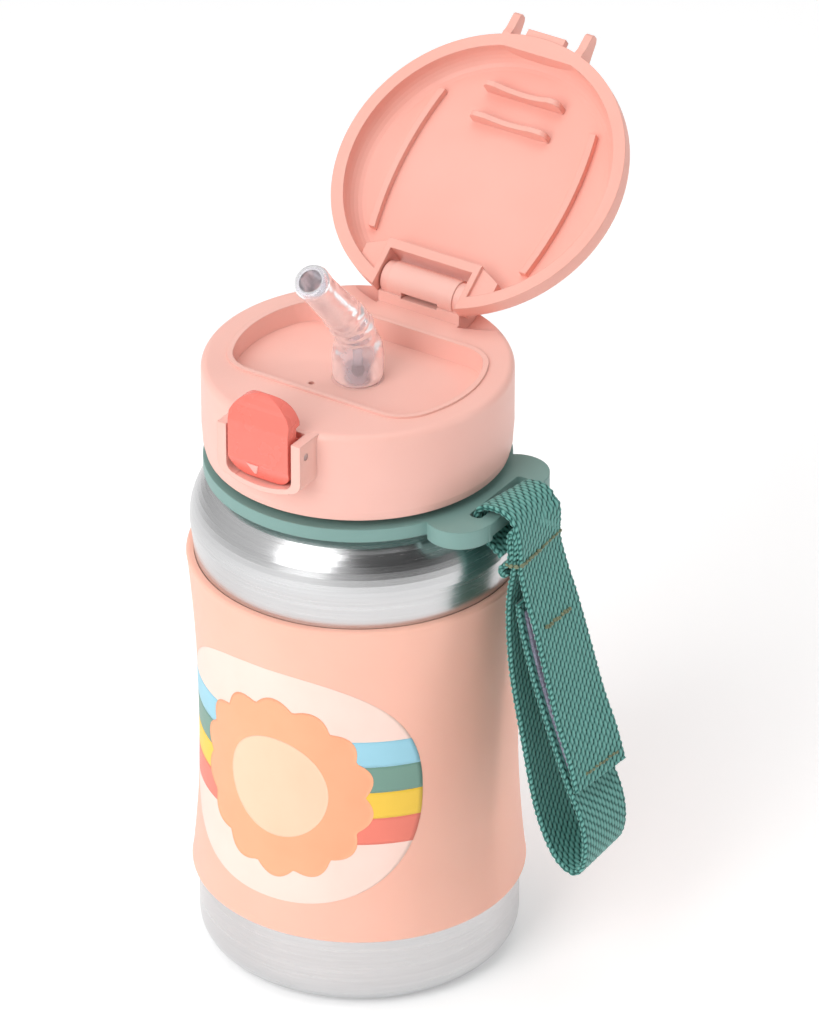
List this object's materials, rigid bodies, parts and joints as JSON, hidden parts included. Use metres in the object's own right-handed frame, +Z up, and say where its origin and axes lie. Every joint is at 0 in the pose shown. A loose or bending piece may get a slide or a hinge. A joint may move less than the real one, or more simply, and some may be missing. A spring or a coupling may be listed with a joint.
{
  "type": "insulated straw bottle",
  "caption": "Insulated steel toddler bottle with a screw lid, flip cover, bent soft straw spout, push-button latch, soft sleeve and a webbing wrist strap on a loose ring.",
  "frame": {"origin": "centre of the flat base", "axes": "+Z up along the bottle, -Y towards the latch button, +Y towards the cover hinge, +X towards the strap"},
  "size_m": [0.1147, 0.1331, 0.2141],
  "materials": {
    "steel": "brushed stainless steel, fine lines around the body",
    "small_steel": "plain stainless wire and pins",
    "lid_peach": "satin moulded plastic",
    "insert_cream": "matt moulded plastic",
    "button_coral": "satin moulded plastic",
    "sleeve_peach": "soft-touch skin with a flat printed medallion and stripes",
    "silicone_clear": "translucent soft silicone",
    "straw_white": "satin extruded tube",
    "ring_sage": "matt moulded rubber",
    "webbing_sage": "tight polyester webbing with a braided edge",
    "hook_loop_grey": "short fuzzy pile"
  },
  "bodies": {
    "bottle": {"outer_shell": "steel", "base_cap": "steel", "inner_liner": "steel", "sleeve": "sleeve_peach"},
    "seal": {"lid_seal": "silicone_clear"},
    "lid": {"lid_base": "lid_peach", "lid_insert": "insert_cream", "hinge_pin": "small_steel", "hinge_spring": "small_steel", "button_pin": "small_steel", "button_spring": "small_steel", "spout_stem": "silicone_clear", "straw_tube": "straw_white", "vent_valve": "silicone_clear"},
    "cover": {"flip_cover": "lid_peach"},
    "button": {"lock_button": "button_coral"},
    "spout": {"spout_tip": "silicone_clear"},
    "ring": {"strap_ring": "ring_sage"},
    "strap": {"strap_wrap": "webbing_sage", "strap_loop": "webbing_sage", "pile_strip": "hook_loop_grey"},
    "tab": {"strap_tab": "webbing_sage", "hook_strip": "hook_loop_grey"}
  },
  "joints": [
    {"name": "lid_lift", "type": "slide", "parent": "bottle", "child": "seal", "axis": [0, 0, 1], "range_m": [0, 0.0076]},
    {"name": "lid_turn", "type": "hinge", "parent": "seal", "child": "lid", "pos_m": [0, 0, 0.15], "axis": [0, 0, 1], "range_deg": [0, 450]},
    {"name": "cover_hinge", "type": "hinge", "parent": "lid", "child": "cover", "pos_m": [0, 0.03125, 0.1666], "axis": [1, 0, 0], "range_deg": [0, 143.2], "stiffness_Nm_per_rad": 0.02, "springref_deg": -28.65, "deforming": ["hinge_spring"]},
    {"name": "button_rock", "type": "hinge", "parent": "lid", "child": "button", "pos_m": [0, -0.0406, 0.1578], "axis": [1, 0, 0], "range_deg": [0, 8], "stiffness_Nm_per_rad": 0.05, "springref_deg": -5.73, "deforming": ["button_spring"]},
    {"name": "spout_fold", "type": "hinge", "parent": "lid", "child": "spout", "pos_m": [0, 0, 0.162], "axis": [1, 0, 0], "range_deg": [0, 62.1], "deforming": ["spout_tip"]},
    {"name": "ring_spin", "type": "hinge", "parent": "bottle", "child": "ring", "pos_m": [0, 0, 0.13415], "axis": [0, 0, 1], "continuous": true},
    {"name": "strap_swing", "type": "hinge", "parent": "ring", "child": "strap", "pos_m": [0.0442, 0, 0.13415], "axis": [0, -1, 0], "range_deg": [-6, 80]},
    {"name": "tab_peel", "type": "hinge", "parent": "strap", "child": "tab", "pos_m": [0.0535, 0, 0.1208], "axis": [0, -1, 0], "range_deg": [0, 90]}
  ],
  "couplings": [
    {"joint": "lid_lift", "follows": "lid_turn", "m_per_rad": 0.00095493},
    {"joint": "spout_fold", "follows": "cover_hinge", "ratio": 0.43296}
  ]
}
